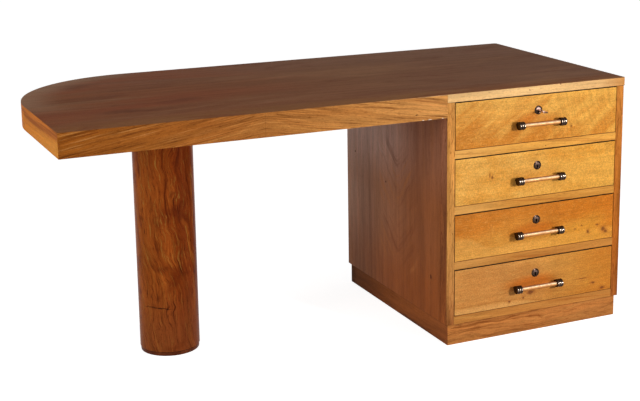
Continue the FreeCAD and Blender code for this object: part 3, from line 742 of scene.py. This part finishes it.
def drawer_veneer(number):
    """Honey gold veneer. Each drawer has its own figure, from curl at the top to knots at the foot."""
    paint = Paint("drawer_veneer_{}".format(number), 0.36, 0.08)
    low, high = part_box("drawer_{}_front".format(number))
    seed = number * 1.7
    place = paint.moved(paint.place, (seed, 0, seed))
    across = paint.share(paint.x, low.x, high.x)
    upward = paint.share(paint.z, low.z, high.z)
    colour = FIGURES[number](paint, *DRAWER_TONES[number], place, across, upward)
    mottle = paint.noise(place, (45, 100, 160), 5, 0.8)
    colour = paint.lay(colour, mottle, 0.5, 0.3, MOTTLE[number], tone(158, 80, 20))
    colour = paint.lay(colour, mottle, 0.5, 0.7, MOTTLE[number], tone(246, 194, 106))
    right = paint.span(across, 0.25, 0.9, 0, WARMTH[number])
    colour = paint.mix(right, colour, paint.mix(1, colour, ORANGE, "MULTIPLY"))
    above_bar = bar_box(number)[1].z + GLOW_RISE
    halo = paint.spot((MIDDLE - GLOW_LEFT, low.y, above_bar), GLOW_REACH, 0.3)
    colour = paint.mix(paint.times(halo, PULL_GLOW[number]), colour, tone(190, 98, 24))
    spots = [((x, low.y, z), (width, 0.012, height)) for x, z, width, height in KNOTS[number]]
    ragged = paint.warped(*RAGGED)
    for centre, radii in spots:
        ring = paint.spot(centre, [radius * 2.2 for radius in radii], 0.2, ragged)
        colour = paint.mix(paint.times(ring, 0.4), colour, tone(160, 84, 32))
    colour = marks(paint, colour, spots, tone(100, 48, 24), 0.75)
    colour = shaded_gap_edges(paint, colour, low, high)
    behind = paint.over(paint.y, high.y - EDGE_DEPTH)
    colour = paint.mix(behind, colour, tone(196, 150, 98))
    return grained(paint, colour, "x", 0.10, 0.22, seed=seed, grit=0.20)


def plain_wood(name, colour, along):
    """Unpolished wood inside the desk."""
    paint = Paint(name, 0.65, 0.1)
    clouds = paint.noise(paint.place, 4, 3)
    colour = paint.vary(colour, clouds, 0.3, 0.7, 0.07, 0.05)
    return grained(paint, colour, along, 0.12, 0.25)


# ---- Metals ----


def metal_paint(name, roughness):
    return Paint(name, roughness, 0.5, 1)


def tarnished(paint, colour, dull):
    """Gives a metal its cloudy tarnish and fine scratches."""
    clouds = paint.noise(paint.place, 90, 4, 0.6)
    scratches = paint.noise(paint.place, (120, 900, 900), 2)
    paint.bump(scratches, 0.00003, 0.3)
    return paint.done(
        paint.mix(paint.span(clouds, 0.4, 0.7), colour, dull),
        paint.span(clouds, 0.3, 0.7, paint.roughness * 0.8, paint.roughness * 1.4),
    )


HIGHLIGHT_RISE, HIGHLIGHT_SIZE = 0.003, (0.3, 0.006, 0.0048)  # the painted highlight's height above the bar, and its reach


def cap_metal(number):
    """Dark bronze, with a pale painted highlight on the front of the caps' ribs."""
    paint = metal_paint("dark_metal_{}".format(number), 0.22)
    y, level = bar_axis(number)
    radius = paint.length(paint.scaled(paint.moved(paint.place, (0, -y, -level)), 0, 1, 1))
    # Pale on the ribs' crests at the front: painted highlight.
    crest = paint.span(radius, CAP_RADIUS - RIB_BULGE * 0.6, CAP_RADIUS - RIB_BULGE * 0.1)
    front = paint.spot((MIDDLE, y - CAP_RADIUS, level + HIGHLIGHT_RISE), HIGHLIGHT_SIZE, 0.2)
    colour = paint.mix(paint.times(crest, front), tone(56, 42, 34), tone(176, 156, 138))
    return tarnished(paint, colour, paint.shade(colour, 0.6))


def bar_copper(number):
    """Copper, with a painted highlight along its upper side and painted golden reflection underneath."""
    paint = metal_paint("pull_copper_{}".format(number), 0.5)
    level = bar_axis(number)[1]
    # Pale along the upper side and golden underneath: painted highlight and reflection.
    colour = paint.ramp(
        paint.share(paint.z, level - ROD_RADIUS, level + ROD_RADIUS),
        (0, 150, 92, 40), (0.3, 186, 128, 70), (0.6, 196, 150, 104), (0.78, 200, 174, 144),
        (1, 170, 114, 70),
    )
    streaks = paint.noise(paint.place, (40, 500, 500), 3)
    colour = paint.vary(colour, streaks, 0.3, 0.7, 0.08, 0.05)
    return tarnished(paint, colour, paint.shade(colour, 0.88))


def key_metal():
    """Warm nickel, with painted shade where the bow meets the stem and at the bow's outer end."""
    paint = metal_paint("key_nickel", 0.3)
    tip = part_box("key")[0].y
    end = paint.span(paint.y, tip + 0.006, tip + 0.002)
    # Dark where the bow meets the stem and at its outer end: painted shade.
    painted_shade_spots = paint.math("MAXIMUM", paint.near(paint.y, tip + KEY_BOW, 0.005), end)
    colour = paint.mix(paint.times(painted_shade_spots, 0.9), tone(226, 196, 178), tone(60, 34, 24))
    return tarnished(paint, colour, paint.shade(colour, 0.75))


def lock_metal(number):
    """Dulled nickel. The nose is dark, with a painted highlight in its upper half, strong on the first
    drawer's lock, and painted black shade in the keyhole.
    """
    paint = metal_paint("lock_nickel_{}".format(number), 0.35)
    level = bar_axis(number)[1] + LOCK_RISE
    nose = paint.under(paint.y, FACE + 0.001)
    # Paler in the nose's upper half: painted highlight.
    painted_sheen_and_wear = paint.span(paint.z, level, level + NOSE_RADIUS * 0.6, 0, 1 if number == 1 else 0.2)
    colour = paint.mix(nose, tone(150, 145, 138), paint.mix(painted_sheen_and_wear, tone(72, 54, 44), tone(214, 178, 165)))
    # Black in the keyhole: painted shade.
    keyhole_shade = paint.times(
        paint.under(paint.away(paint.x, MIDDLE), KEYHOLE_HALF),
        paint.under(paint.z, level + KEYHOLE_HALF),
        paint.over(paint.z, level - NOSE_RADIUS * 0.9),
        nose,
    )
    colour = paint.mix(keyhole_shade, colour, tone(14, 10, 8))
    return tarnished(paint, colour, paint.shade(colour, 0.7))


def bolt_brass():
    paint = metal_paint("bolt_brass", 0.35)
    return tarnished(paint, tone(205, 178, 120), tone(160, 130, 80))


# ---- Meshes ----


def new_object(name, data):
    made = bpy.data.objects.new(name, data)
    bpy.context.scene.collection.objects.link(made)
    return made


def geometry_group(name):
    group = bpy.data.node_groups.new(name, "GeometryNodeTree")
    for direction in ("INPUT", "OUTPUT"):
        group.interface.new_socket("Mesh", in_out=direction, socket_type="NodeSocketGeometry")
    return group


def settle_normals():
    """A node group that drops stored normals and shades by angle."""
    group = geometry_group("settle")
    graph = Graph(group)
    start = graph.node("NodeGroupInput").outputs[0]
    bare = graph.node("GeometryNodeRemoveAttribute", {0: start, "Name": "custom_normal"}).outputs[0]
    smooth = graph.node("GeometryNodeSetShadeSmooth", [bare]).outputs[0]
    angle = graph.node("GeometryNodeInputMeshEdgeAngle").outputs["Unsigned Angle"]
    bent = graph.node("FunctionNodeCompare", [angle, SHARP], operation="GREATER_THAN").outputs[0]
    values = {0: smooth, "Selection": bent, "Shade Smooth": False}
    sharp = graph.node("GeometryNodeSetShadeSmooth", values, domain="EDGE").outputs[0]
    graph.node("NodeGroupOutput", [sharp])
    return group


def weld_apart(point, normal):
    """A node group that welds the boards on each side of a plane, but not to each other."""
    group = geometry_group("weld_apart")
    graph = Graph(group)

    def vector(operation, first, second):
        return graph.node("ShaderNodeVectorMath", [first, second], operation=operation).outputs

    outward = graph.node("GeometryNodeInputNormal").outputs[0]
    centre = graph.node("GeometryNodeInputPosition").outputs[0]
    within = vector("SUBTRACT", centre, vector("MULTIPLY", outward, (INSIDE,) * 3)[0])[0]
    side = vector("DOT_PRODUCT", vector("SUBTRACT", within, tuple(point))[0], tuple(normal))["Value"]
    beyond = graph.node("FunctionNodeCompare", [side], operation="GREATER_THAN").outputs[0]
    values = {0: graph.node("NodeGroupInput").outputs[0], "Selection": beyond}
    join = graph.node("GeometryNodeJoinGeometry")
    for part in graph.node("GeometryNodeSeparateGeometry", values, domain="FACE").outputs:
        merged = graph.node("GeometryNodeMergeByDistance", {0: part, "Distance": WELD}).outputs[0]
        graph.links.new(merged, join.inputs[0])
    graph.node("NodeGroupOutput", [join.outputs[0]])
    return group


SETTLE = settle_normals()


def soften(piece, width, plane=None):
    """Rounds a piece's sharp edges by modifiers: weld, join flat faces, bevel, shade."""
    if plane:
        piece.modifiers.new("weld", "NODES").node_group = weld_apart(*plane)
    else:
        piece.modifiers.new("weld", "WELD").merge_threshold = WELD
    flat = piece.modifiers.new("flat", "DECIMATE")
    flat.decimate_type = "DISSOLVE"
    flat.angle_limit = FLAT
    if width > 0:
        bevel = piece.modifiers.new("bevel", "BEVEL")
        bevel.width, bevel.segments = width, 2
        bevel.limit_method, bevel.angle_limit = "ANGLE", CREASE
        bevel.miter_outer = "MITER_ARC"
    piece.modifiers.new("settle", "NODES").node_group = SETTLE
    even = piece.modifiers.new("even", "WEIGHTED_NORMAL")
    even.keep_sharp = True


def dress(nodes, material, width=EASED, plane=None):
    """Gives CAD nodes their material and soft edges. The plane parts boards that touch within a node."""
    for name in nodes:
        piece = frame["nodes"][name]
        for holder in piece.material_slots:
            holder.material = material
        soften(piece, width, plane)


def new_piece(name, mesh, body, material):
    data = bpy.data.meshes.new(name)
    bmesh.ops.recalc_face_normals(mesh, faces=mesh.faces)
    mesh.to_mesh(data)
    mesh.free()
    data.materials.append(material)
    piece = new_object(name, data)
    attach(piece, body)
    return piece


def turned(mesh, profile, matrix, steps=48):
    """Turns (radius, height) pairs round the matrix's Z axis. An end at radius 0 is closed."""
    rings = []
    for radius, height in profile:
        if radius == 0:
            rings.append([mesh.verts.new(matrix @ Vector((0, 0, height)))])
            continue
        ring = []
        for step in range(steps):
            angle = 2 * math.pi * step / steps
            spot = Vector((radius * math.cos(angle), radius * math.sin(angle), height))
            ring.append(mesh.verts.new(matrix @ spot))
        rings.append(ring)
    for low, high in zip(rings, rings[1:]):
        for step in range(steps):
            after = (step + 1) % steps
            corners = [low[step % len(low)], low[after % len(low)]]
            corners += [high[after % len(high)], high[step % len(high)]]
            mesh.faces.new(list(dict.fromkeys(corners)))


def facing(axis, centre):
    """A matrix whose Z axis is the given one, at a centre."""
    return Matrix.Translation(centre) @ Vector(axis).to_track_quat("Z", "X").to_matrix().to_4x4()


# ---- Fittings ----


def cap_profile():
    """A round cap of convex ribs, from one end to the other."""
    half = CAP_LENGTH / 2
    rib = (CAP_LENGTH - GROOVE_WIDTH * (RIB_COUNT - 1)) / RIB_COUNT
    profile = [(0, -half)]
    for index in range(RIB_COUNT):
        middle = -half + rib / 2 + index * (rib + GROOVE_WIDTH)
        for turn in RIB_TURNS:
            radius = CAP_RADIUS - RIB_BULGE * (1 - math.cos(math.radians(turn)))
            profile.append((radius, middle + rib / 2 * math.sin(math.radians(turn))))
        if index < RIB_COUNT - 1:
            groove = CAP_RADIUS - GROOVE_DEPTH
            profile += [(groove, middle + rib / 2), (groove, middle + rib / 2 + GROOVE_WIDTH)]
    return profile + [(0, half)]


def ring_profile():
    """A flat washer that rises from its outer rim to the hole for the nose."""
    hole, rim = NOSE_RADIUS, RING_RADIUS
    return [
        (hole, 0),
        (rim, 0),
        (rim - RING_RIM / 2, RING_RIM),
        (hole + RING_RIM, RING_THICKNESS),
        (hole, RING_THICKNESS - RING_RIM / 4),
        (hole, 0),
    ]


def fittings(number, material):
    """A drawer's two ribbed caps on posts, and the ring round its lock."""
    bar_low, bar_high = bar_box(number)
    bar = (bar_low + bar_high) / 2
    mesh = bmesh.new()
    for x in (bar_low.x - CAP_LENGTH / 2, bar_high.x + CAP_LENGTH / 2):
        turned(mesh, cap_profile(), facing((1, 0, 0), Vector((x, bar.y, bar.z))))
        reach = FACE - bar.y - CAP_RADIUS + GROOVE_DEPTH * 2
        post = [(0, 0), (POST_RADIUS, 0), (POST_RADIUS, reach), (0, reach)]
        turned(mesh, post, facing((0, -1, 0), Vector((x, FACE, bar.z))), POST_STEPS)
    ring = facing((0, -1, 0), Vector((bar.x, FACE, bar.z + LOCK_RISE)))
    turned(mesh, ring_profile(), ring, RING_STEPS)
    bmesh.ops.remove_doubles(mesh, verts=mesh.verts, dist=SAME_PLACE)
    body = "drawer_{}".format(number)
    piece = new_piece("metalware_{}".format(number), mesh, body, material)
    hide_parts("drawer_{}_fittings".format(number))
    soften(piece, 0.0)


def pull_rod(number, material):
    """A drawer's copper rod, from cap to cap."""
    low, high = bar_box(number)
    middle = (low + high) / 2
    profile = [(0, 0), (ROD_RADIUS, 0), (ROD_RADIUS, high.x - low.x), (0, high.x - low.x)]
    mesh = bmesh.new()
    turned(mesh, profile, facing((1, 0, 0), Vector((low.x, middle.y, middle.z))))
    body = "drawer_{}".format(number)
    piece = new_piece("pull_rod_{}".format(number), mesh, body, material)
    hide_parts("drawer_{}_pull_bar".format(number))
    soften(piece, 0.0)


# ---- Stage, light and camera ----


def bearing(azimuth, elevation):
    """The direction from the desk to what stands right of its front and above it by these angles."""
    flat = math.cos(elevation)
    return Vector((math.sin(azimuth) * flat, -math.cos(azimuth) * flat, math.sin(elevation)))


def camera():
    """Stands where the photo's camera stood."""
    forward = -bearing(-AZIMUTH, ELEVATION)
    right = Vector((math.cos(AZIMUTH), -math.sin(AZIMUTH), 0))
    up = right.cross(forward)
    side = right * math.cos(ROLL) + up * math.sin(ROLL)
    above = up * math.cos(ROLL) - right * math.sin(ROLL)
    data = bpy.data.cameras.new("camera")
    data.sensor_width = SENSOR
    data.lens = FOCAL / WIDTH * SENSOR
    data.shift_x = (WIDTH / 2 - CENTRE_X) / WIDTH
    data.shift_y = (CENTRE_Y - HEIGHT / 2) / WIDTH
    data.clip_end = FAR
    eye = new_object("camera", data)
    turn = Matrix((side, above, -forward)).transposed().to_4x4()
    eye.matrix_world = Matrix.Translation(CAMERA_PLACE) @ turn
    bpy.context.scene.camera = eye


def seen_by_eye(graph):
    """1 for what the camera sees, also by reflection or through glass, and 0 for what only gives light."""
    path = graph.node("ShaderNodeLightPath").outputs
    seen = graph.math("MAXIMUM", path["Is Camera Ray"], path["Is Glossy Ray"])
    return graph.math("MAXIMUM", seen, path["Is Transmission Ray"])


def floor():
    """A wide pale floor. What the camera sees of it is white, but for the object's soft shadow."""
    mesh = bmesh.new()
    bmesh.ops.create_grid(mesh, x_segments=4, y_segments=4, size=FLOOR_REACH)
    data = bpy.data.meshes.new("floor")
    mesh.to_mesh(data)
    mesh.free()
    ground = new_object("floor", data)
    ground.location.z = -FLOOR_DROP
    paint = Paint("floor", 0.9, 0.0)
    strength = paint.times(seen_by_eye(paint), FLOOR_GLOW)
    glow = paint.node("ShaderNodeEmission", {"Color": (1, 1, 1, 1), "Strength": strength})
    both = paint.node("ShaderNodeAddShader", [paint.shader.outputs[0], glow.outputs[0]])
    paint.put(paint.nodes["Material Output"].inputs["Surface"], both.outputs[0])
    data.materials.append(paint.done((FLOOR_GREY, FLOOR_GREY, FLOOR_GREY, 1.0)))


def world():
    """White where it is seen, and plain soft light elsewhere."""
    sky = bpy.data.worlds.new("world")
    sky.use_nodes = True
    bpy.context.scene.world = sky
    graph = Graph(sky.node_tree)
    values = {"Value": seen_by_eye(graph), "To Min": AMBIENT, "To Max": 1.0}
    background = graph.nodes["Background"].inputs
    graph.put(background["Color"], (1, 1, 1, 1))
    graph.put(background["Strength"], graph.node("ShaderNodeMapRange", values).outputs[0])


def lamp(name, target, azimuth, elevation, distance, size, share):
    """A soft round lamp aimed at a point. Its share is what it adds to a white surface facing it there."""
    data = bpy.data.lights.new(name, "AREA")
    data.shape, data.size = "DISK", size
    data.energy = share * math.pi ** 2 * distance ** 2
    holder = new_object(name, data)
    back = bearing(math.radians(azimuth), math.radians(elevation))
    holder.location = Vector(target) + back * distance
    holder.rotation_mode = "QUATERNION"
    holder.rotation_quaternion = (-back).to_track_quat("-Z", "Y")


# ---- The desk ----

dress(["top_veneer"], top_veneer(), TOP_EASED)
dress(["front_apron"], front_apron())
dress(["end_apron"], end_apron())
dress(["curved_apron"], end_apron("curved_apron", True))
dress(["back_apron"], front_apron("back_apron"), plane=(TOP_HIGH, (1, -1, 0)))
dress(["edge_strips"], edge_strips(), plane=((TOP_HIGH.x, TOP_LOW.y, 0), (1, 1, 0)))
dress(["drawer_rails"], rails())
dress(["front_stiles"], stiles())
dress(["column_tube"], column_veneer())
dress(["column_base"], column_base(), BASE_EASED)
dress(["left_side_panel", "right_side_panel", "back_panel"], side_veneer())
dress(["plinth_front"], plinth_front(), PLINTH_EASED)
back_board = (0, PLINTH_BACK - (PLINTH_HIGH.y - PLINTH_LOW.y), 0)
dress(["plinth_returns"], plinth_returns(), PLINTH_EASED, (back_board, (0, 1, 0)))
dress(["top_board"], plain_wood("core_board", tone(170, 136, 96), "x"))
inner = plain_wood("inner_wood", tone(192, 150, 100), "x")
dress(["cross_bearers", "drawer_runners", "plinth_blocks"], inner)
dress(["column_inner"], inner, plane=(COLUMN_HIGH, (0, 0, 1)))
sheet = plain_wood("plywood", tone(206, 162, 108), "y")
dress(["bottom_board"], sheet)
brass = bolt_brass()
linings = plain_wood("drawer_wood", tone(214, 168, 112), "y")
for number in DRAWERS:
    name = "drawer_{}_".format(number)
    dress([name + "front"], drawer_veneer(number))
    dress([name + "sides", name + "back"], linings)
    dress([name + "bottom"], sheet)
    dress(["lock_{}_case".format(number)], lock_metal(number), LOCK_EASED)
    dress(["lock_{}_bolt".format(number)], brass, LOCK_EASED)
    fittings(number, cap_metal(number))
    pull_rod(number, bar_copper(number))
dress(["key"], key_metal(), KEY_EASED)

camera()
floor()
world()
for row in LAMPS:
    lamp(*row)
bpy.context.scene.view_settings.view_transform = "Standard"
